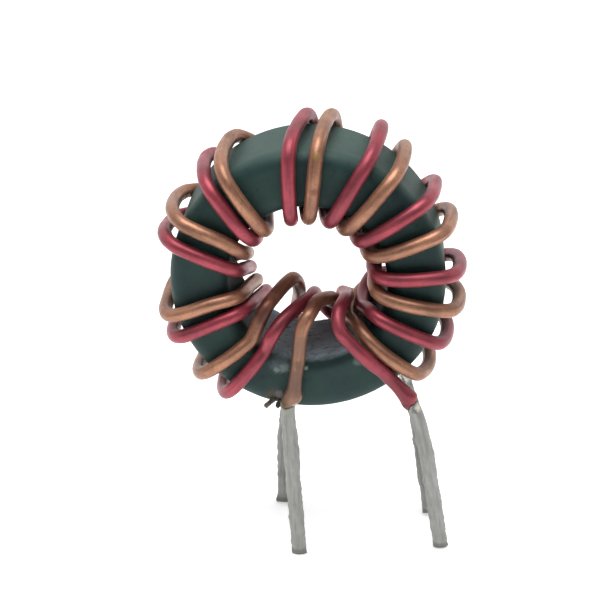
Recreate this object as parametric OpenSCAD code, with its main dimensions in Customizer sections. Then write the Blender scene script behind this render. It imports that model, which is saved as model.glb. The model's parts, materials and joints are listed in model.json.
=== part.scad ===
// Two-wire toroidal inductor: a coated ring core wound side by side with a red and a
// copper-coloured enamelled wire. It stands on the four tinned ends of those wires.
// The ring's axis runs along Y, front to back. The origin is the tip of the front left lead.

/* [Core] */
// Outside diameter of the coated ring
core_od = 20.4; // [19.6:0.1:22]
// Bore diameter of the coated ring
core_bore = 11.7; // [11.2:0.1:12.4]
// Length of the ring along its axis
core_h = 8.3; // [7.5:0.1:10]
// Rounding radius of the ring's edges
core_edge = 1.15; // [0.8:0.05:1.4]

/* [Wires] */
// Diameter of the enamelled wires
wire_d = 1.06; // [0.9:0.01:1.1]
// Depth scraped off a wire where its end is stripped
strip_depth = 0.065; // [0.03:0.005:0.1]
// Air between a wire and the ring
lay_gap = 0.08; // [0.06:0.01:0.12]
// Air between a strand and the wall of the bore
bore_gap = 0.3; // [0.1:0.05:0.4]
// How far a strand bows off the outside of the ring, halfway along it
outer_bow = 0.2; // [0:0.01:0.5]
// How far a strand bows into the bore, halfway along it
bore_bow = 0.1; // [0:0.01:0.3]
// How far a strand bows off the ring's flat faces
face_bow = 0.08; // [0:0.01:0.2]

/* [Leads] */
// Height of the ring's axis above the lead tips
axis_height = 22.4; // [20:0.1:26]
// Thickness of the solder coat on the stripped ends
tin_t = 0.1; // [0.05:0.01:0.15]
// Air between the solder coat and the bare copper
tin_gap = 0.005; // [0.003:0.001:0.02]

/* [Hidden] */

wire_sides = 10;
wire_r = wire_d / 2;
bare_r = wire_r - strip_depth;
tin_bore_r = bare_r + tin_gap;
tin_r = tin_bore_r + tin_t;
seat_gap = 0.08; // between the end of the solder coat and the enamel above it

// Lines that the middle of a wire follows round the ring's section
standoff = wire_r + lay_gap;
bore_r = core_bore / 2 - wire_r - bore_gap;
outer_r = core_od / 2 + standoff;
face_y = core_h / 2 + standoff;
corner_r = core_edge + standoff;

// ---- Windings -------------------------------------------------------------------------
// One row for each turn. The first four values are the strand's angles round the ring, seen
// from the front and counted from +X towards +Z: at the back inner, back outer, front outer
// and front inner corner. Then come how far it sags round the bore on its way to the next
// turn, in degrees, and how loosely it stands off the outside of the ring, in mm.
copper_turns = [
  [-65, -41, -40, -41, -10, 0.60],
  [-37, -15,  -9,  -6,   0, 0.35],
  [  8,  18,  24,  27,   0, 0.20],
  [ 40,  50,  54,  57,   0, 0.25],
  [ 70,  81,  86,  88,   0, 0.20],
  [103, 122, 125, 126,   0, 0.05],
  [138, 155, 152, 151,   0, 0.20],
  [188, 193, 194, 191,   0, 0.10],
  [214, 224, 223, 226,   0, 0.50]
];
red_turns = [
  [-51, -28, -24, -23, -11, 0.40],
  [-24,  -3,   6,   9,   0, 0.20],
  [ 22,  31,  38,  42,   0, 0.15],
  [ 54,  62,  66,  71,   0, 0.60],
  [ 84,  91,  97, 102,   0, 0.10],
  [117, 135, 133, 138,   0, 0.05],
  [152, 167, 162, 167,   0, 0.15],
  [201, 205, 204, 204,   0, 0.25],
  [227, 234, 236, 239,   0, 0.45]
];

// ---- Leads ----------------------------------------------------------------------------
// Each route runs from the end of the enamel inward to the winding, as points of
// [share, angle, side]. Share is 0 on the line of the bore strands and 1 on the line of the
// outer strands; below 0 it falls to -1 on the ring's axis. Angle is as above. Side is -1 on
// the line of the front strands and 1 on the line of the back strands.
front_left_route = [
  [ 0.49, 263, -1.01], [ 0.23, 264, -1.01], [-0.16, 264, -1.01], [-0.46, 265, -0.99],
  [-0.60, 269, -0.93], [-0.64, 280, -0.78], [-0.60, 296, -0.49], [-0.41, 304, -0.06],
  [-0.28, 297,  0.21], [-0.14, 293,  0.53], [-0.04, 292,  0.82]
];
front_right_route = [
  [ 1.03, 312, -1.01], [ 0.75, 312, -1.01], [ 0.54, 312, -1.06], [ 0.29, 311, -1.14],
  [ 0.01, 310, -1.14], [-0.20, 310, -1.13], [-0.35, 316, -1.00], [-0.40, 324, -0.85],
  [-0.36, 328, -0.53], [-0.27, 321, -0.06], [-0.24, 316,  0.21], [-0.20, 308,  0.53],
  [-0.07, 306,  0.80]
];
back_left_route = [
  [ 0.25, 257,  1.02], [-0.10, 256,  0.87], [-0.37, 253,  0.51], [-0.56, 244,  0.25],
  [-0.67, 221,  0.00], [-0.58, 211, -0.27], [-0.43, 211, -0.55], [-0.28, 213, -0.80]
];
back_right_route = [
  [ 0.60, 297,  1.03], [ 0.20, 284,  1.03], [-0.12, 277,  0.83], [-0.48, 277,  0.19],
  [-0.58, 275, -0.25], [-0.56, 257, -0.51], [-0.44, 242, -0.76], [-0.29, 237, -0.91],
  [-0.10, 236, -1.01]
];

// The stripped end of each lead, from the enamel down to where it runs straight to its tip
front_left_bend = [[0.75, 261.5, -1.01], [0.92, 262.5, -1.01]];
back_left_bend = [[0.80, 256, 1.01], [0.98, 257.5, 0.98]];
front_right_bend = [[1.24, 311, -1.00], [1.58, 308, -0.99], [1.94, 304.5, -0.99]];
back_right_bend = [[1.24, 305.5, 1.00], [1.62, 302, 0.99], [2.03, 300.3, 0.90]];

// The feet as [x, lean]: how far a lead's foot is to the right of the ring's axis, and how far
// it leans in from the line of the strands on its own face
front_left_foot = [-0.5, 0];
back_left_foot = [-2.2, 1.8];
front_right_foot = [10.6, 1.6];
back_right_foot = [9.9, 3.2];

// ---- Paths ----------------------------------------------------------------------------
ring_spacing = 1;  // of the rings along a lead
core_steps = 120;  // round the ring core

function unit(v) = v / norm(v);
function mix(a, b, u) = a + (b - a) * u;
function reversed(list) = [for (i = [len(list) - 1 : -1 : 0]) list[i]];

function around(radius, angle, y) = [radius * cos(angle), y, radius * sin(angle)];

// A point of a lead route, from its [share, angle, side]
function route_point(p) =
  around(p[0] < 0 ? bore_r * (1 + p[0]) : mix(bore_r, outer_r, p[0]), p[1], p[2] * face_y);

// A foot from its [x, lean], on the front (side -1) or the back (side 1)
function foot_point(foot, side) = [foot[0], side * (face_y - foot[1]), -axis_height];

// A turn has four legs: out over the back face, forward along the outside, in over the front
// face and back through the bore. Each runs from the middle of one corner to the next. Vectors
// here are [radius, y].
leg_along = [[1, 0], [0, -1], [-1, 0], [0, 1]];
leg_outward = [[0, 1], [1, 0], [0, -1], [-1, 0]];
leg_straight = [outer_r - bore_r, 2 * face_y, outer_r - bore_r, 2 * face_y]
               - 2 * corner_r * [1, 1, 1, 1];
leg_bow = [face_bow, outer_bow, face_bow, bore_bow];
leg_corner = [
  [bore_r + corner_r, face_y - corner_r],
  [outer_r - corner_r, face_y - corner_r],
  [outer_r - corner_r, corner_r - face_y],
  [bore_r + corner_r, corner_r - face_y]
];
half_corner = corner_r * PI / 4;
function leg_length(k) = leg_straight[k] + 2 * half_corner;

// Distances along leg k at which the wire has a ring
function leg_stops(k) = let (rings = k % 2 == 0 ? 1 : 3) [
  half_corner / 3,
  for (i = [0 : rings]) half_corner + leg_straight[k] * i / rings,
  half_corner + leg_straight[k] + half_corner * 2 / 3
];

// Where the wire is at distance s along leg k. A loose strand rounds the ring's outer edges in
// wider bends and bows out twice as far again between them.
function leg_point(k, s, loose) =
  let (
    along = max(0, min(leg_straight[k], s - half_corner)),
    swing = 90 + 45 * (s - half_corner - along) / half_corner,
    bow = (leg_bow[k] + (k == 1 ? loose : 0)) * pow(sin(180 * s / leg_length(k)), 2),
    off_outside = [max(0, -cos(swing)), sin(swing), max(0, cos(swing)), 0][k]
  )
  leg_corner[k] + (along - corner_r * cos(swing)) * leg_along[k]
    + (corner_r * sin(swing) + bow) * leg_outward[k] + [loose / 2 * off_outside, 0];

// The angle on leg j of a winding, a share u of the way along it. It passes through each
// corner's angle without a kink.
function leg_angle(corners, j, u) =
  let (
    last = len(corners) - 1,
    here = leg_length(j % 4),
    other = leg_length((j + 1) % 4),
    a = corners[j],
    b = corners[j + 1],
    from = (b - corners[max(0, j - 1)]) * here / (here + (j > 0 ? other : 0)),
    to = (corners[min(last, j + 2)] - a) * here / (here + (j + 1 < last ? other : 0))
  )
  a + from * u + (3 * (b - a) - 2 * from - to) * u * u + (from + to - 2 * (b - a)) * u * u * u;

// The middle line of a winding, from the back inner corner of its first turn to the front
// inner corner of its last
function winding_path(turns) =
  let (
    corners = [for (turn = turns) for (c = [0 : 3]) turn[c]],
    legs = len(corners) - 1
  )
  [
    for (j = [0 : legs - 1])
      let (k = j % 4, turn = turns[floor(j / 4)], sag = k == 3 ? turn[4] : 0)
      for (s = leg_stops(k))
        let (u = s / leg_length(k), p = leg_point(k, s, turn[5]))
        around(p[0], leg_angle(corners, j, u) + sag * pow(sin(180 * u), 2), p[1])
  ];

// A smooth curve through the points from p[first] to p[last]
function curve(p, first, last) = [
  for (i = [first : 1 : last - 1])
    let (n = max(1, round(norm(p[i + 1] - p[i]) / ring_spacing)))
    for (k = [0 : n - 1])
      curve_point(p[i - 1], p[i], p[i + 1], p[i + 2], k / n),
  p[last]
];
function curve_point(a, b, c, d, u) =
  b + (c - a) * u / 2 + (a - 5 * b / 2 + 2 * c - d / 2) * u * u
    + (3 * b - a - 3 * c + d) * u * u * u / 2;

// One end of a wire as [bare, coated]: the path from its tip to the end of the enamel, and
// from there to the winding, whose first two points are given. The tip is cut square, and the
// lowest point of its rim is level with foot, where the lead's middle line would end.
function lead(foot, bend, route, winding) =
  let (
    straight_top = route_point(bend[len(bend) - 1]),
    run = straight_top - foot,
    tip = foot + unit(run) * tin_r * norm([run[0], run[1]]) / run[2],
    points = concat(
      [tip, mix(straight_top, tip, 0.1)],
      [for (b = reversed(bend)) route_point(b)],
      [for (r = route) route_point(r)],
      winding
    ),
    enamel = 1 + len(bend),
    last = len(points) - 2
  )
  [concat([tip], curve(points, 2, enamel)), curve(points, enamel, last)];

// ---- Wires ----------------------------------------------------------------------------
// A wire's direction at each of its points, and a sideways vector carried along it unturned
function direction(path, i) =
  let (
    last = len(path) - 1,
    after = i < last && path[i + 1] == path[i] ? 2 : 1,
    before = i > 0 && path[i - 1] == path[i] ? 2 : 1
  )
  unit(path[min(i + after, last)] - path[max(i - before, 0)]);
function squared_off(v, d) = unit(v - (v * d) * d);
function sideways(path) = [
  for (i = 0, v = squared_off([1, 0, 0], direction(path, 0));
       i < len(path);
       i = i + 1, v = squared_off(v, direction(path, i)))
    v
];

// Rings of points square to the path, one for each of the given radii. The path may run on by
// a point, which then only turns the last ring.
function rings(path, radii) =
  let (side = sideways(path))
  [
    for (i = [0 : len(radii) - 1])
      let (other = cross(direction(path, i), side[i]))
      for (k = [0 : wire_sides - 1])
        let (turn = 360 * k / wire_sides)
        path[i] + radii[i] * (cos(turn) * side[i] + sin(turn) * other)
  ];

// The faces between neighbouring rings, counted from the point numbered start
function walls(count, start = 0) = [
  for (i = [0 : count - 2])
    for (k = [0 : wire_sides - 1])
      let (
        a = start + i * wire_sides + k,
        b = start + i * wire_sides + (k + 1) % wire_sides
      )
      [a, a + wire_sides, b + wire_sides, b]
];

module rod(path, radii) {
  end = (len(path) - 1) * wire_sides;
  caps = [
    [for (k = [0 : wire_sides - 1]) k],
    [for (k = [0 : wire_sides - 1]) end + wire_sides - 1 - k]
  ];
  polyhedron(rings(path, radii), concat(walls(len(path)), caps));
}

module tube(path, outer, inner) {
  count = len(outer) * wire_sides;
  end = count - wire_sides;
  rims = [
    for (k = [0 : wire_sides - 1])
      let (m = (k + 1) % wire_sides)
      for (rim = [[k, m, count + m, count + k], [end + m, end + k, end + count + k, end + count + m]])
        rim
  ];
  inside = [for (face = walls(len(inner), count)) reversed(face)];
  polyhedron(
    concat(rings(path, outer), rings(path, inner)),
    concat(walls(len(outer)), inside, rims)
  );
}

// A whole wire: bare end, enamelled lead, winding, enamelled lead and bare end
module wire(start, winding, finish) {
  bare_in = start[0];
  coated = concat(
    start[1],
    [for (i = [1 : len(winding) - 2]) winding[i]],
    reversed(finish[1])
  );
  bare_out = reversed(finish[0]);
  rod(
    concat(bare_in, coated, bare_out),
    concat(
      [for (p = bare_in) bare_r],
      [for (p = coated) wire_r],
      [for (p = bare_out) bare_r]
    )
  );
}

// The solder coat round a bare end: a round sleeve along its straight stretch, and a bent
// tube from there to the enamel, which starts inside the sleeve's wall
module tin(lead) {
  bare = lead[0];
  tip = bare[0];
  run = bare[1] - tip;
  last = len(bare) - 1;
  facet = 1 / cos(180 / wire_sides); // a polygon's corner, where its flats are at 1
  root = bare[1] - unit(run) * wire_r;
  end = bare[last] + unit(bare[last - 1] - bare[last]) * seat_gap;
  in_wall = [tin_r - tin_t / 6, tin_r - tin_t / 2];
  in_bend = [tin_r, tin_bore_r * facet];
  radii = [for (i = [0 : last]) i < 2 ? in_wall : in_bend];
  translate(tip)
    rotate([0, acos(run[2] / norm(run)), atan2(run[1], run[0])])
      difference() {
        cylinder(r = tin_r, h = norm(run));
        translate([0, 0, -1])
          cylinder(r = tin_bore_r, h = norm(run) + 2);
      }
  tube(
    concat([root], [for (i = [1 : last - 1]) bare[i]], [end, lead[1][1]]),
    [for (r = radii) r[0]],
    [for (r = radii) r[1]]
  );
}

// ---- Pieces ---------------------------------------------------------------------------
copper_winding = winding_path(copper_turns);
red_winding = winding_path(red_turns);
function first_two(path) = [path[0], path[1]];

front_left = lead(foot_point(front_left_foot, -1), front_left_bend, front_left_route,
                  first_two(copper_winding));
front_right = lead(foot_point(front_right_foot, -1), front_right_bend, front_right_route,
                   first_two(red_winding));
back_left = lead(foot_point(back_left_foot, 1), back_left_bend, back_left_route,
                 first_two(reversed(copper_winding)));
back_right = lead(foot_point(back_right_foot, 1), back_right_bend, back_right_route,
                  first_two(reversed(red_winding)));

// Everything above is laid out from the middle of the ring; this sets it on its tips
module standing() {
  translate(-foot_point(front_left_foot, -1))
    children();
}

module core() {
  corner_steps = 6;
  outline = [
    for (c = [0 : 3])
      let (
        x = (c == 0 || c == 3 ? core_od / 2 - core_edge : core_bore / 2 + core_edge),
        y = (c < 2 ? 1 : -1) * (core_h / 2 - core_edge)
      )
      for (i = [0 : corner_steps])
        let (turn = 90 * (c + i / corner_steps))
        [x + core_edge * cos(turn), y + core_edge * sin(turn)]
  ];
  color("darkslategray")
    standing()
      rotate([90, 0, 0])
        rotate_extrude($fn = core_steps)
          polygon(outline);
}

module red_wire() {
  color("indianred")
    standing()
      wire(front_right, red_winding, back_right);
}

module copper_wire() {
  color("peru")
    standing()
      wire(front_left, copper_winding, back_left);
}

module tin_sleeve(lead) {
  color("darkgray")
    standing()
      tin(lead, $fn = 48);
}

module tin_front_left() {
  tin_sleeve(front_left);
}

module tin_back_left() {
  tin_sleeve(back_left);
}

module tin_front_right() {
  tin_sleeve(front_right);
}

module tin_back_right() {
  tin_sleeve(back_right);
}

core();
red_wire();
copper_wire();
tin_front_left();
tin_back_left();
tin_front_right();
tin_back_right();
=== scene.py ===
# Two-wire toroidal inductor: the looks of its ring core, its two enamelled wires and the
# tinned ends that it stands on. Lengths are in millimetres unless /1000 makes them metres.
import json
import math

import bmesh
import bpy
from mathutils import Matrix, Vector, noise


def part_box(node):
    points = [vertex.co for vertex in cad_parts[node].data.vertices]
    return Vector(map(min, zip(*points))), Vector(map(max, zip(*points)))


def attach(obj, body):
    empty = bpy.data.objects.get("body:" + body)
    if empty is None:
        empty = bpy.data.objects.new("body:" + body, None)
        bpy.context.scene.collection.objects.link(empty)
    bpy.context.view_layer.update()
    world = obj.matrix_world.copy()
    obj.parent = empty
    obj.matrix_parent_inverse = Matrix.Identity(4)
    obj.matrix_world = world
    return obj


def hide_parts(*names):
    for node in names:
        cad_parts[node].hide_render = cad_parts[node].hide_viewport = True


noise.seed_set(3)  # so that the wander of the wires is the same in every run
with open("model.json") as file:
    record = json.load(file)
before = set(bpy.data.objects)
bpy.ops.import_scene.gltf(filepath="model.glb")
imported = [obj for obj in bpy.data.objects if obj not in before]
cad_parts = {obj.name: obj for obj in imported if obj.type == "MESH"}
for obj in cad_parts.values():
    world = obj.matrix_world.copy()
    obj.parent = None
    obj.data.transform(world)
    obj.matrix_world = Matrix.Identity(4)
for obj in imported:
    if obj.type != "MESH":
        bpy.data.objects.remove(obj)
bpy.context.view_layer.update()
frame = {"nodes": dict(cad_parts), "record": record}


# ---- Camera -----------------------------------------------------------------------------
# A long lens, some 12 cm away, looks down on the front face of the ring from a little to
# the right. mm() gives a place in metres, as the scene takes it.
def mm(x, y, z):
    return Vector((x, y, z)) / 1000


camera = bpy.data.objects.new("camera", bpy.data.cameras.new("camera"))
camera.location = mm(6.09, -101.67, 65.02)
camera.rotation_euler = (math.radians(90 - 23.1), 0, math.radians(3.4))
camera.data.lens = 91.1
camera.data.sensor_width = 36
camera.data.clip_start = 0.001
bpy.context.collection.objects.link(camera)
bpy.context.scene.camera = camera


# ---- Ring core --------------------------------------------------------------------------
# A sintered ferrite ring, dipped in dark green epoxy. The coat is thin, satin and a little
# uneven. It dried rough at the bottom of the bore, and varnish ran off its lower edge.
class Socket:
    """An output of a node. Arithmetic on it adds Math nodes."""

    def __init__(self, nodes, output):
        self.nodes = nodes
        self.output = output

    def math(self, operation, *values):
        return self.nodes.node("Math", dict(enumerate(values)), operation=operation)

    def __add__(self, other):
        return self.math("ADD", self, other)

    def __sub__(self, other):
        return self.math("SUBTRACT", self, other)

    def __rsub__(self, other):
        return self.math("SUBTRACT", other, self)

    def __mul__(self, other):
        return self.math("MULTIPLY", self, other)

    __radd__ = __add__
    __rmul__ = __mul__

    def ramp(self, low, high):
        """0 at low, rising to 1 at high, or falling to it if low is the greater."""
        levels = {"Value": self, "From Min": low, "From Max": high}
        return self.nodes.node("MapRange", levels, interpolation_type="SMOOTHSTEP")


class Nodes:
    """A tree of shader nodes, for a material or for the light from all round."""

    def __init__(self, tree):
        self.tree = tree

    def node(self, kind, inputs, output=0, **settings):
        """Adds a node: its settings first, then the values or links of its sockets."""
        made = self.tree.nodes.new("ShaderNode" + kind)
        for setting, value in settings.items():
            setattr(made, setting, value)
        for key, value in inputs.items():
            self.feed(made.inputs[key], value)
        return Socket(self, made.outputs[output])

    def feed(self, socket, value):
        if isinstance(value, Socket):
            self.tree.links.new(value.output, socket)
        else:
            socket.default_value = value


class Finish(Nodes):
    """A material with one Principled shader, and patterns laid out in millimetres."""

    def __init__(self, name, **fixed):
        self.material = bpy.data.materials.new(name)
        self.material.use_nodes = True
        super().__init__(self.material.node_tree)
        self.shader = self.tree.nodes["Principled BSDF"]
        self.set(**fixed)
        metres = self.node("TexCoord", {}, output="Object")
        self.place = self.node("VectorMath", {0: metres, "Scale": 1000}, operation="SCALE")

    def set(self, **values):
        """Feeds sockets of the shader, named with _ for each space."""
        for name, value in values.items():
            self.feed(self.shader.inputs[name.replace("_", " ")], value)

    def noise(self, scale, detail=3.0, roughness=0.5, place=None, warp=0.0):
        """Smooth noise from 0 to 1; scale is its number of waves in a millimetre."""
        inputs = {"Vector": place or self.place, "Scale": scale, "Detail": detail,
                  "Roughness": roughness, "Distortion": warp}
        return self.node("TexNoise", inputs)

    def stretched(self, place, stretch):
        """A place whose patterns come out stretch times closer along each axis."""
        return self.node("VectorMath", {0: place, 1: stretch}, operation="MULTIPLY")

    def mix(self, share, a, b):
        """Colour a, turning to colour b as share goes from 0 to 1."""
        return self.node("Mix", {0: share, 6: a, 7: b}, output=2, data_type="RGBA")

    def bump(self, height, distance, strength):
        """A normal that leans with a pattern's height, which is distance mm at 1."""
        inputs = {"Height": height, "Distance": distance / 1000, "Strength": strength}
        return self.node("Bump", inputs)

    def distance(self, point):
        """How far each place is from a point."""
        ends = {0: self.place, 1: point}
        return self.node("VectorMath", ends, output="Value", operation="DISTANCE")

    def stain(self, shade, stains_and_painted_shade, edge):
        """Lays stains, and in places painted shade, as (point, radius, share, colour) on a
        colour, with a ragged edge.
        """
        for point, radius, share, colour in stains_and_painted_shade:
            away = self.distance(point) + (edge - 0.5) * radius
            inside = away.ramp(radius, radius * 0.35)
            shade = self.mix(inside * share, shade, srgb(*colour))
        return shade


def srgb(red, green, blue):
    """A colour as a shader takes it, from the 0 to 255 that a screen takes."""
    def linear(level):
        level /= 255
        return level / 12.92 if level <= 0.04045 else ((level + 0.055) / 1.055) ** 2.4

    return (linear(red), linear(green), linear(blue), 1.0)


def piece(name, mesh, node, finish):
    """Puts a finished mesh in the scene, where it stands for a CAD node."""
    made = bpy.data.objects.new(name, mesh)
    bpy.context.collection.objects.link(made)
    mesh.materials.clear()
    mesh.materials.append(finish.material)
    for face in mesh.polygons:
        face.use_smooth = True
    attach(made, "root")
    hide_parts(node)


core_low, core_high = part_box("core")
core_middle = (core_low + core_high) / 2
core_outer = (core_high.x - core_low.x) / 2 * 1000
core_half = (core_high.y - core_low.y) / 2 * 1000
core_bore = 5.85
core_round = 1.15
core_steps = 360
round_steps = 8
side_cuts = 23
# The relief of the coat, as (depth, waves in a millimetre), and the wrinkles of its bore,
# which reach this many degrees to each side of the bottom
coat_relief = ((0.02, 0.35), (0.005, 1.7))
wrinkled_arc = 55
wrinkle_depth = 0.10
crumb_depth = 0.03

ring = bmesh.new()
corners = [
    ring.verts.new(mm(radius, side, 0))
    for radius, side in (
        (core_bore, -core_half), (core_outer, -core_half),
        (core_outer, core_half), (core_bore, core_half),
    )
]
for a, b in zip(corners, corners[1:] + corners[:1]):
    ring.edges.new((a, b))
bmesh.ops.bevel(
    ring, geom=ring.verts[:], offset=core_round / 1000, offset_type="OFFSET",
    affect="VERTICES", segments=round_steps, profile=0.5, material=-1,
)
sides = [e for e in ring.edges if e.calc_length() > core_round / 1000]
bmesh.ops.subdivide_edges(ring, edges=sides, cuts=side_cuts)
bmesh.ops.spin(
    ring, geom=ring.verts[:] + ring.edges[:], cent=(0, 0, 0), axis=(0, 1, 0),
    angle=2 * math.pi, steps=core_steps, use_merge=True,
)
bmesh.ops.remove_doubles(ring, verts=ring.verts[:], dist=1e-6)
bmesh.ops.recalc_face_normals(ring, faces=ring.faces[:])
ring.normal_update()
# The coat lies a little unevenly under its full size, and in wrinkles low in the bore
for vert in ring.verts:
    spot = vert.co * 1000
    below = math.degrees(math.atan2(spot.x, -spot.z))
    low = max(0.0, 1 - abs(below) / wrinkled_arc)
    dip = sum(depth * (1 + noise.noise(spot * waves)) for depth, waves in coat_relief)
    if math.hypot(spot.x, spot.z) < core_bore + core_round / 2:
        ridge = 1 - abs(noise.noise(Vector((spot.x, spot.y * 2.4, spot.z))))
        dip += wrinkle_depth * low * (1 - ridge**3)
        dip += crumb_depth * low * (1 + noise.noise(spot * 4))
    vert.co -= vert.normal * dip / 1000
bmesh.ops.translate(ring, verts=ring.verts[:], vec=core_middle)

# Two drips of varnish off the lower edge, as lumpy beads of (middle, half width)
bead_lumps = 0.25
drips = (
    ((-1.98, 0.78, 13.05), 0.22),
    ((-2.12, 0.72, 12.93), 0.20),
    ((-2.27, 0.68, 12.81), 0.19),
    ((-2.40, 0.65, 12.69), 0.19),
    ((-2.52, 0.64, 12.58), 0.20),
    ((-1.50, 0.72, 12.84), 0.22),
    ((-1.60, 0.66, 12.70), 0.22),
    ((-1.66, 0.62, 12.58), 0.18),
)
for middle, half_width in drips:
    bead = bmesh.ops.create_icosphere(ring, subdivisions=3, radius=half_width / 1000)
    for vert in bead["verts"]:
        vert.co *= 1 + bead_lumps * noise.noise(vert.co * 9000)
    bmesh.ops.translate(ring, verts=bead["verts"], vec=mm(*middle))
core_mesh = bpy.data.meshes.new("ring_core")
ring.to_mesh(core_mesh)
ring.free()

coat = Finish("green_epoxy", Specular_IOR_Level=0.4, Specular_Tint=(0.8, 1.0, 0.94, 1.0))
cloud = coat.noise(0.25, 4.0)
grain = coat.noise(5.0, 5.0, 0.7)
speck = coat.noise(1.3, 5.0, 0.75)
shade = coat.mix(cloud.ramp(0.3, 0.7), srgb(18, 40, 42), srgb(29, 55, 50))
shade = coat.mix(speck.ramp(0.56, 0.70) * 0.6, shade, srgb(8, 22, 32))
shade = coat.mix(grain.ramp(0.62, 0.78) * 0.25, shade, srgb(88, 106, 98))
# The outer surface is painted a little paler than the faces: a painted sheen, where it
# catches the bright light from behind
middle = tuple(core_middle * 1000)
from_middle = coat.node("VectorMath", {0: coat.place, 1: middle}, operation="SUBTRACT")
off_axis = {0: coat.stretched(from_middle, (1, 0, 1))}
across = coat.node("VectorMath", off_axis, output="Value", operation="LENGTH")
height = coat.node("SeparateXYZ", {0: from_middle}, output="Z")
painted_outer_sheen = across.ramp(core_outer - 0.4, core_outer)
shade = coat.mix(painted_outer_sheen * 0.2, shade, srgb(94, 120, 108))
# The bottom of the bore is scraped purplish grey, in scratches along the ring's axis, and
# painted paler as painted light that falls into the bore from above
in_bore = across.ramp(core_bore + 0.5, core_bore + 0.1) * height.ramp(-3.9, -4.9)
scratch_place = coat.stretched(coat.place, (0.9, 2.6, 1.4))
scratch = coat.noise(1.0, 5.0, 0.75, scratch_place, warp=1.5)
shade = coat.mix(in_bore * scratch.ramp(0.3, 0.5), shade, srgb(146, 162, 172))
shade = coat.mix(in_bore * scratch.ramp(0.60, 0.70), shade, srgb(208, 216, 218))
shade = coat.stain(shade, (
    ((-1.50, 0.61, 16.10), 1.05, 0.55, (104, 114, 116)),
    ((-1.15, 0.61, 15.75), 0.50, 0.6, (124, 136, 134)),
    ((-1.75, 0.61, 15.55), 0.30, 0.6, (130, 140, 138)),
    ((0.44, 0.61, 15.81), 0.28, 0.8, (160, 172, 160)),
    ((1.25, 1.05, 16.60), 0.32, 0.9, (200, 210, 212)),
    ((4.30, 0.61, 16.41), 0.45, 0.5, (110, 124, 120)),
    ((-1.95, 0.80, 13.40), 0.95, 0.8, (74, 62, 52)),
    ((-1.55, 0.66, 13.55), 0.45, 0.6, (112, 110, 112)),
    ((-2.56, 0.61, 12.60), 0.45, 0.9, (110, 88, 86)),
    ((-1.62, 0.61, 12.60), 0.35, 0.9, (42, 40, 32)),
), grain)
coat.set(Base_Color=shade, Roughness=0.46 + speck * 0.12 + grain * 0.12 + in_bore * 0.1)
coat.set(Normal=coat.bump(grain * 0.4 + speck * 0.6 + in_bore * scratch * 2.5, 0.03, 0.6))
piece("ring_core", core_mesh, "core", coat)


# ---- Enamelled wires --------------------------------------------------------------------
# Two copper magnet wires, one with red and one with clear amber enamel, wound side by side
# by hand, so they run a little unevenly. The enamel is scraped off the four ends.
cad_sides = 10
wire_sides = 24
wire_radius = 0.53
bare_radius = 0.455
shoulder = 0.03  # a step in radius of over this much is where the enamel ends
ring_gap = 0.2
bare_setback = 5  # rings
straight_run = 5


def rings_of(node, near):
    """The middle and radius in mm of each ring of a CAD wire, from the tip near a place."""
    rod = bmesh.new()
    rod.from_mesh(frame["nodes"][node].data)
    bmesh.ops.remove_doubles(rod, verts=rod.verts[:], dist=2e-6)
    rod.verts.index_update()
    tip = sorted(rod.verts, key=lambda v: (v.co - near).length)[:cad_sides]
    layers = [tip]
    seen = set(tip)
    while layers[-1]:
        ahead = {e.other_vert(v) for v in layers[-1] for e in v.link_edges} - seen
        seen |= ahead
        # Sorted, because a set has no fixed order and the last digit of a sum turns on it
        layers.append(sorted(ahead, key=lambda v: v.index))
    rings = []
    for layer in layers[:-1]:
        middle = sum((v.co for v in layer), Vector()) / len(layer)
        radius = sum((v.co - middle).length for v in layer) / len(layer)
        rings.append((middle * 1000, radius * 1000))
    rod.free()
    return rings


def smooth_line(points, spacing):
    """Points about spacing apart, on a smooth curve through the given ones. A long run
    between two of them stays straight."""
    line = []
    guides = [points[0]]
    for a, b in zip(points, points[1:]):
        parts = 8 if (b - a).length > straight_run else 1
        guides += [a.lerp(b, i / parts) for i in range(1, parts + 1)]
    ends = [2 * guides[0] - guides[1]] + guides + [2 * guides[-1] - guides[-2]]
    for a, b, c, d in zip(ends, ends[1:], ends[2:], ends[3:]):
        reach = (c - b).length
        # Each point's tangent is weighed by the lengths beside it
        before, after = max((b - a).length, 1e-6), max((d - c).length, 1e-6)
        start = ((b - a) / before * reach + (c - b) / reach * before) / (before + reach)
        stop = ((c - b) / reach * after + (d - c) / after * reach) / (reach + after)
        steps = max(1, round(reach / spacing))
        for i in range(steps):
            u = i / steps
            line.append(
                b * (2 * u**3 - 3 * u * u + 1)
                + c * (3 * u * u - 2 * u**3)
                + start * reach * (u**3 - 2 * u * u + u)
                + stop * reach * (u**3 - u * u)
            )
    return line + [points[-1]]


def nearness(spot, middle, reach):
    """1 at a middle, falling evenly to 0 at its reach."""
    return max(0.0, 1 - (spot - Vector(middle)).length / reach)


# Places where a wire was pushed aside, as (middle, reach, shift)
nudges = (
    ((-0.70, -0.05, 14.0), 1.8, (0.17, 0.0, 0.0)),
    ((-1.80, 9.30, 8.3), 3.2, (0.28, 0.0, 0.0)),
    ((9.40, 0.0, 10.2), 2.5, (-0.06, 0.0, 0.0)),
    ((5.33, -0.53, 16.46), 1.15, (-0.04, -0.02, -0.04)),
    ((2.76, 6.73, 19.64), 1.15, (-0.05, 0.0, 0.04)),
    ((0.41, 0.30, 20.80), 2.0, (0.24, 0.0, -0.28)),
)


def drifted(line):
    """A line with the small wander of a wire that is laid by hand."""
    course = []
    for spot in line:
        spot = spot + 0.03 * noise.noise_vector(spot * 0.32 + Vector((7, 3, 5)))
        for middle, reach, shift in nudges:
            near = nearness(spot, middle, reach)
            spot = spot + Vector(shift) * near * near * (3 - 2 * near)
        course.append(spot)
    return course


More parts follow.
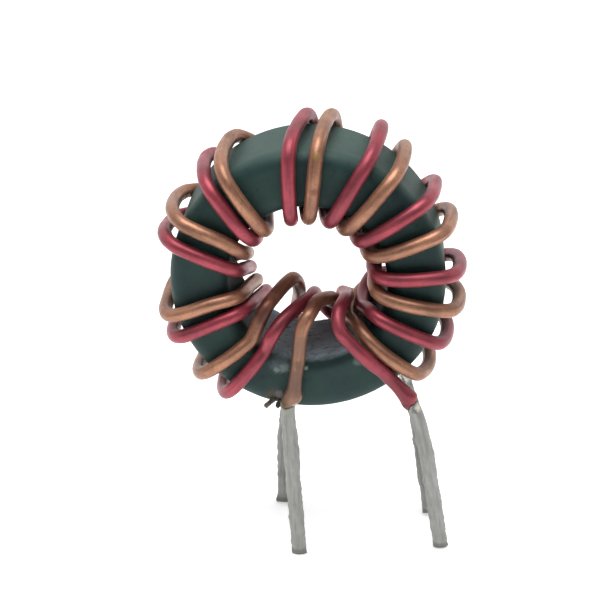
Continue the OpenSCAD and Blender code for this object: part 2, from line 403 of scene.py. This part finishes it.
def round_skin(line, radii):
    """A round skin, open at both ends, along a line of points in mm. Its attribute strand
    holds how far along it a vertex is, and the cosine and sine of its place round it."""
    curve = bpy.data.curves.new("skin", "CURVE")
    curve.dimensions = "3D"
    curve.bevel_depth = 1 / 1000
    curve.bevel_resolution = wire_sides // 2 - 2
    spline = curve.splines.new("POLY")
    spline.points.add(len(line) - 1)
    for point, spot, radius in zip(spline.points, line, radii):
        point.co = (*(spot / 1000), 1)
        point.radius = radius
    holder = bpy.data.objects.new("skin", curve)
    bpy.context.collection.objects.link(holder)
    mesh = bpy.data.meshes.new_from_object(
        holder.evaluated_get(bpy.context.evaluated_depsgraph_get())
    )
    bpy.data.objects.remove(holder)
    strand = mesh.attributes.new("strand", "FLOAT_VECTOR", "POINT")
    along = 0.0
    for i, spot in enumerate(line):
        along += (spot - line[max(0, i - 1)]).length
        for k in range(wire_sides):
            turn = 2 * math.pi * k / wire_sides
            place = (along, math.cos(turn), math.sin(turn))
            strand.data[i * wire_sides + k].vector = place
    skin = bmesh.new()
    skin.from_mesh(mesh)
    bpy.data.meshes.remove(mesh)
    return skin


def finished(name, skin):
    """A mesh of a finished skin, with its faces outwards."""
    bmesh.ops.recalc_face_normals(skin, faces=skin.faces[:])
    mesh = bpy.data.meshes.new(name)
    skin.to_mesh(mesh)
    skin.free()
    return mesh


# Where the enamel ends, as (how far it is burnt back, the side on which a tongue of it is
# left, the tongue's length)
enamel_edges = {
    "front_left": (0.0, (-0.6, -0.8, 0), 0.25),
    "front_right": (0.36, (-0.8, -0.6, 0), 0.50),
    "back_left": (0.0, (0, -1, 0), 0.1),
    "back_right": (0.0, (-0.8, -0.6, 0), 0.2),
}
edge_reach = 1.5
edge_waves = ((0.12, 1.6), (0.07, 4.5))
# How far the heat of the solder has swollen each end, and over what length
swelling = {"front_left": 0.07, "front_right": 0.14, "back_left": 0.04, "back_right": 0.05}
swelling_reach = 2.0
# Lumps on the swollen ends, as (middle, reach, rise)
enamel_lumps = (
    ((0.00, -0.20, 13.75), 0.8, 0.20),
    ((-1.30, -0.20, 13.30), 0.7, 0.12),
    ((7.95, -0.20, 13.40), 0.5, 0.10),
    ((8.90, -0.10, 13.95), 0.6, 0.10),
)
mounts = {mount["name"]: mount for mount in frame["record"]["mounts"]}
bare_lines = {}


def draw_edge(skin, lead):
    """Pulls a skin along the wire, round where the enamel ends, for a ragged edge."""
    before, end = bare_lines[lead][-2:]
    down = (before - end).normalized()
    burnt, tongue, length = enamel_edges[lead]
    for vert in skin.verts:
        away = vert.co * 1000 - end
        if away.length > edge_reach + 0.1:
            continue
        along = away.dot(down)
        facing = (away - down * along).normalized()
        pull = length * max(0.0, facing.dot(Vector(tongue))) ** 5 - burnt
        pull += sum(rise * noise.noise(facing * waves + end) for rise, waves in edge_waves)
        vert.co += down * pull * max(0.0, 1 - abs(along) / edge_reach) / 1000


def enamel(name, dark, light, stain, stains_and_painted_shade):
    """Glossy enamel over copper, cloudy from dark to light, and streaked with stain."""
    finish = Finish(name, Metallic=0.62, Coat_Weight=0.1, Coat_Roughness=0.3)
    strand = finish.node("Attribute", {}, output="Vector", attribute_name="strand")
    streak = finish.noise(1.0, 4.0, 0.6, finish.stretched(strand, (0.25, 1.6, 1.6)))
    cloud = finish.noise(0.5, 3.0)
    spots = finish.noise(1.2, 4.0, 0.7)
    shade = finish.mix(cloud.ramp(0.3, 0.7), dark, light)
    shade = finish.mix(streak.ramp(0.44, 0.70) * 0.65, shade, stain)
    shade = finish.mix(spots.ramp(0.62, 0.76) * 0.6, shade, stain)
    shade = finish.mix(finish.noise(3.5, 3.0, 0.7).ramp(0.5, 0.7) * 0.4, shade, stain)
    shade = finish.stain(shade, stains_and_painted_shade, spots)
    finish.set(Base_Color=shade, Roughness=0.33 + streak * 0.2)
    finish.set(Normal=finish.bump(spots + streak, 0.022, 0.5))
    return finish


enamels = {
    "red_wire": enamel(
        "red_wire_enamel", srgb(133, 51, 64), srgb(168, 69, 82), srgb(102, 52, 57),
        (
            ((8.90, -0.2, 13.95), 0.55, 0.7, (132, 72, 60)),
            ((7.95, -0.4, 13.45), 0.40, 0.8, (92, 34, 42)),
            ((7.20, -0.3, 14.60), 1.60, 0.6, (104, 46, 52)),
            ((-1.2, 0.1, 19.8), 1.3, 0.6, (104, 46, 52)),
        ),
    ),
    "copper_wire": enamel(
        "amber_wire_enamel", srgb(142, 99, 78), srgb(178, 127, 99), srgb(96, 70, 58),
        (
            ((-0.75, -0.5, 12.90), 0.8, 0.9, (118, 106, 88)),
            ((-1.15, -0.4, 13.25), 0.6, 0.9, (84, 66, 42)),
            ((-0.30, -0.4, 13.15), 0.45, 0.95, (196, 200, 188)),
            ((1.25, -0.3, 32.65), 0.4, 0.55, (168, 140, 70)),
            ((1.06, -0.55, 30.1), 0.4, 0.7, (104, 66, 46)),
            ((-0.10, -0.3, 15.2), 2.0, 0.8, (92, 70, 62)),
            ((-0.55, -0.4, 13.7), 1.0, 0.6, (122, 94, 78)),
            ((0.15, -0.3, 17.8), 1.8, 0.7, (112, 86, 72)),
            ((-0.05, -0.4, 16.6), 0.6, 0.6, (92, 70, 52)),
            ((-2.8, 0.6, 20.8), 1.4, 0.75, (112, 62, 54)),
            ((-2.3, 0.4, 19.9), 1.1, 0.8, (92, 58, 52)),
            # painted shade, where the front left strand goes in under the one beside it
            ((1.0, 0.9, 21.0), 0.9, 0.6, (108, 64, 54)),
        ),
    ),
}
lead_ends = {
    "red_wire": ("front_right", "back_right"),
    "copper_wire": ("front_left", "back_left"),
}
for node, (start, stop) in lead_ends.items():
    mount = mounts["lead_" + start]
    tip = Vector(mount["pos_m"])
    if start != "front_left":
        # All mounts but the first stand half way up their leads
        tip += Vector(mount["axis"]) * mount["dims"]["length_mm"] / 2000
    middles, thicknesses = zip(*rings_of(node, tip))
    steps = [abs(b - a) for a, b in zip(thicknesses, thicknesses[1:])]
    shoulders = [i for i, step in enumerate(steps, 1) if step > shoulder]
    first, last = shoulders[0], shoulders[-1]
    bare_lines[start] = drifted(smooth_line(middles[:first], ring_gap))
    bare_lines[stop] = drifted(smooth_line(middles[last:][::-1], ring_gap))
    coated = drifted(smooth_line(middles[first:last], ring_gap))
    # The enamel sets out along the bare ends, so that it is cut square to the wire
    for lead, place, near in ((start, 1, 0), (stop, -1, -1)):
        before, end = bare_lines[lead][-2:]
        coated.insert(place, coated[near] + (end - before) * 0.5)
    # The bare ends stop short of the tips, inside the solder, and just short of the enamel
    bare_ends = []
    for lead in (start, stop):
        *lower, before, end = bare_lines[lead]
        bare_ends.append(lower[bare_setback:] + [before, end.lerp(before, 0.1)])
    bare_start, bare_stop = bare_ends
    line = bare_start + coated + bare_stop[::-1]
    radii = [bare_radius for spot in bare_start]
    for spot in coated:
        radius = wire_radius + 0.008 * noise.noise(spot * 0.9)
        for lead in (start, stop):
            near = nearness(spot, bare_lines[lead][-1], swelling_reach)
            radius += swelling[lead] * near * (1 - near**4) * 1.6
        radii.append(radius)
    radii += [bare_radius for spot in bare_stop]
    skin = round_skin(line, radii)
    bmesh.ops.holes_fill(skin, edges=skin.edges[:], sides=wire_sides)
    for i, vert in enumerate(skin.verts):
        if radii[i // wire_sides] == bare_radius:
            continue
        outward = (vert.co * 1000 - line[i // wire_sides]).normalized()
        for middle, reach, rise in enamel_lumps:
            near = nearness(vert.co * 1000, middle, reach)
            vert.co += outward * rise * near * near * (3 - 2 * near) / 1000
    draw_edge(skin, start)
    draw_edge(skin, stop)
    name, slot = node.replace("_wire", "_winding"), node.replace("_wire", "_enamel")
    piece(name, finished(name, skin), node, enamels[node])


# ---- Tinned ends ------------------------------------------------------------------------
# Each stripped end was dipped in solder, which set as a dull grey coat, thin at the neck
# and thicker and lumpy below. Side cutters nipped off the tips, so these are pinched.
solder_radius = 0.57
solder_wall = 0.035
solder_top_gap = 0.075
neck_length = 3.5
neck_thinning = 0.07
# Its uneven surface, as (rise, waves in a millimetre), and how deep that may dip
solder_relief = ((0.07, 0.9), (0.07, 2.2), (0.04, 4.8))
solder_dip = 0.03
pinched_length = 0.65
pinch_depth = 0.5
pinch_spread = 0.08
# Lumps that stand out of the coat, or sink into it, as (middle, reach, rise)
solder_lumps = {
    "front_left": (
        ((0.30, -0.15, 3.9), 0.8, 0.06),
        ((-0.80, -0.20, 3.3), 0.3, 0.09),
        ((-0.05, -0.10, 8.6), 1.4, 0.10),
    ),
    "back_left": (((-2.35, 7.6, 5.2), 0.5, 0.06), ((-2.30, 7.7, 0.3), 0.5, 0.10)),
    "front_right": (((8.2, 0.0, 12.3), 0.5, 0.05),),
    "back_right": (((9.9, 6.8, 0.3), 0.5, -0.08),),
}
solder = Finish("dull_solder", Metallic=0.5)
strand = solder.node("Attribute", {}, output="Vector", attribute_name="strand")
streak = solder.noise(1.0, 5.0, 0.7, solder.stretched(strand, (0.5, 2.2, 2.2)))
cloud = solder.noise(0.5, 4.0, 0.6)
pit = solder.noise(2.4, 4.0, 0.7)
shade = solder.mix(streak.ramp(0.25, 0.75), srgb(126, 127, 124), srgb(160, 160, 156))
shade = solder.mix(cloud.ramp(0.55, 0.75) * 0.4, shade, srgb(116, 116, 112))
shade = solder.mix(pit.ramp(0.64, 0.78) * 0.5, shade, srgb(112, 112, 106))
shade = solder.stain(shade, (
    ((-0.9, -0.3, 12.6), 0.5, 0.7, (150, 155, 132)),
    ((8.70, -0.4, 13.10), 0.45, 0.8, (84, 88, 82)),
    ((8.98, -0.4, 13.25), 0.45, 0.95, (206, 202, 186)),
    ((7.85, 9.0, 11.10), 0.65, 0.9, (214, 216, 206)),
    ((7.70, 9.0, 11.20), 0.20, 0.8, (66, 72, 70)),
    ((7.82, 9.0, 10.98), 0.20, 0.8, (66, 72, 70)),
    ((7.94, 9.0, 10.76), 0.20, 0.8, (66, 72, 70)),
    ((8.72, 9.1, 10.60), 0.45, 0.8, (92, 102, 94)),
    ((-1.70, 7.7, 0.2), 1.0, 0.5, (104, 104, 98)),
), pit)
# Each tip is painted darker in a band over its pinched faces: painted shade, where they
# turn down from the light
height = solder.node("SeparateXYZ", {0: solder.place}, output="Z") + pit * 0.3
painted_tip_shade = height.ramp(0.95, 0.6) * height.ramp(0.1, 0.3)
shade = solder.mix(painted_tip_shade * 0.7, shade, srgb(98, 98, 92))
solder.set(Base_Color=shade, Roughness=0.45 + streak * 0.2)
solder.set(Normal=solder.bump(streak + pit * 0.6, 0.04, 0.6))
for lead, bare in bare_lines.items():
    line = [spot for spot in bare if (spot - bare[-1]).length > 2 * solder_top_gap]
    line.append(bare[-1] + (line[-1] - bare[-1]).normalized() * solder_top_gap)
    radii = [
        solder_radius - neck_thinning * nearness(spot, line[-1], neck_length) ** 1.5
        for spot in line
    ]
    skin = round_skin(line, radii)
    skin.normal_update()
    down = (line[0] - line[3]).normalized()
    for vert in skin.verts:
        spot = vert.co * 1000
        swell = sum(rise * noise.noise(spot * waves) for rise, waves in solder_relief)
        below_top = (spot - line[-1]).length
        swell = max(-solder_dip, swell) * max(0.0, min(1.0, below_top / 1.5 - 0.4))
        for middle, reach, rise in solder_lumps[lead]:
            swell += rise * nearness(spot, middle, reach) ** 0.8
        away = spot - line[0]
        pinch = max(0.0, 1 + away.dot(down) / pinched_length)
        vert.co += vert.normal * swell / 1000
        squeeze = Vector((pinch_spread * away.x, -pinch_depth * away.y, 0))
        vert.co += squeeze * pinch / 1000
    rims = [e for e in skin.edges if e.is_boundary]
    foot = [e for e in rims if (e.verts[0].co * 1000 - line[0]).length < 1]
    bmesh.ops.holes_fill(skin, edges=foot, sides=wire_sides)
    bmesh.ops.recalc_face_normals(skin, faces=skin.faces[:])
    bmesh.ops.solidify(skin, geom=skin.faces[:], thickness=solder_wall / 1000)
    draw_edge(skin, lead)
    name, node = "tinned_" + lead, "tin_" + lead
    piece(name, finished(name, skin), node, solder)


# ---- Floor and light --------------------------------------------------------------------
# A white floor in a light tent that is bright behind and above and dark round the camera,
# with one soft lamp overhead.
floor = bmesh.new()
bmesh.ops.create_grid(floor, x_segments=1, y_segments=1, size=1.0)
floor_mesh = bpy.data.meshes.new("floor")
floor.to_mesh(floor_mesh)
floor.free()
floor_piece = bpy.data.objects.new("floor", floor_mesh)
bpy.context.collection.objects.link(floor_piece)
white = Finish("white_floor", Roughness=0.9, Base_Color=srgb(246, 246, 246),
               Emission_Color=srgb(255, 255, 255), Emission_Strength=0.45)
floor_mesh.materials.append(white.material)

world = bpy.data.worlds.new("light_tent")
world.use_nodes = True
tent = Nodes(world.node_tree)
way = tent.node("TexCoord", {}, output="Generated")
behind = tent.node("VectorMath", {0: way, 1: (0, 0.9, 0.4)}, output="Value",
                   operation="DOT_PRODUCT")
above = tent.node("SeparateXYZ", {0: way}, output="Z")
sky = tent.tree.nodes["Background"].inputs
glow = behind.ramp(-0.5, 0.2) * (0.8 - above.ramp(0.5, 0.9) * 0.4)
tent.feed(sky["Color"], srgb(255, 255, 255))
tent.feed(sky["Strength"], 0.2 + glow)
bpy.context.scene.world = world

lamp = bpy.data.lights.new("overhead", "AREA")
lamp.size = 200 / 1000
lamp.energy = 0.62
overhead = bpy.data.objects.new("overhead", lamp)
overhead.location = mm(-10, -20, 260)
aim = core_middle - overhead.location
overhead.rotation_euler = aim.to_track_quat("-Z", "Y").to_euler()
bpy.context.collection.objects.link(overhead)

bpy.context.scene.view_settings.view_transform = "Standard"
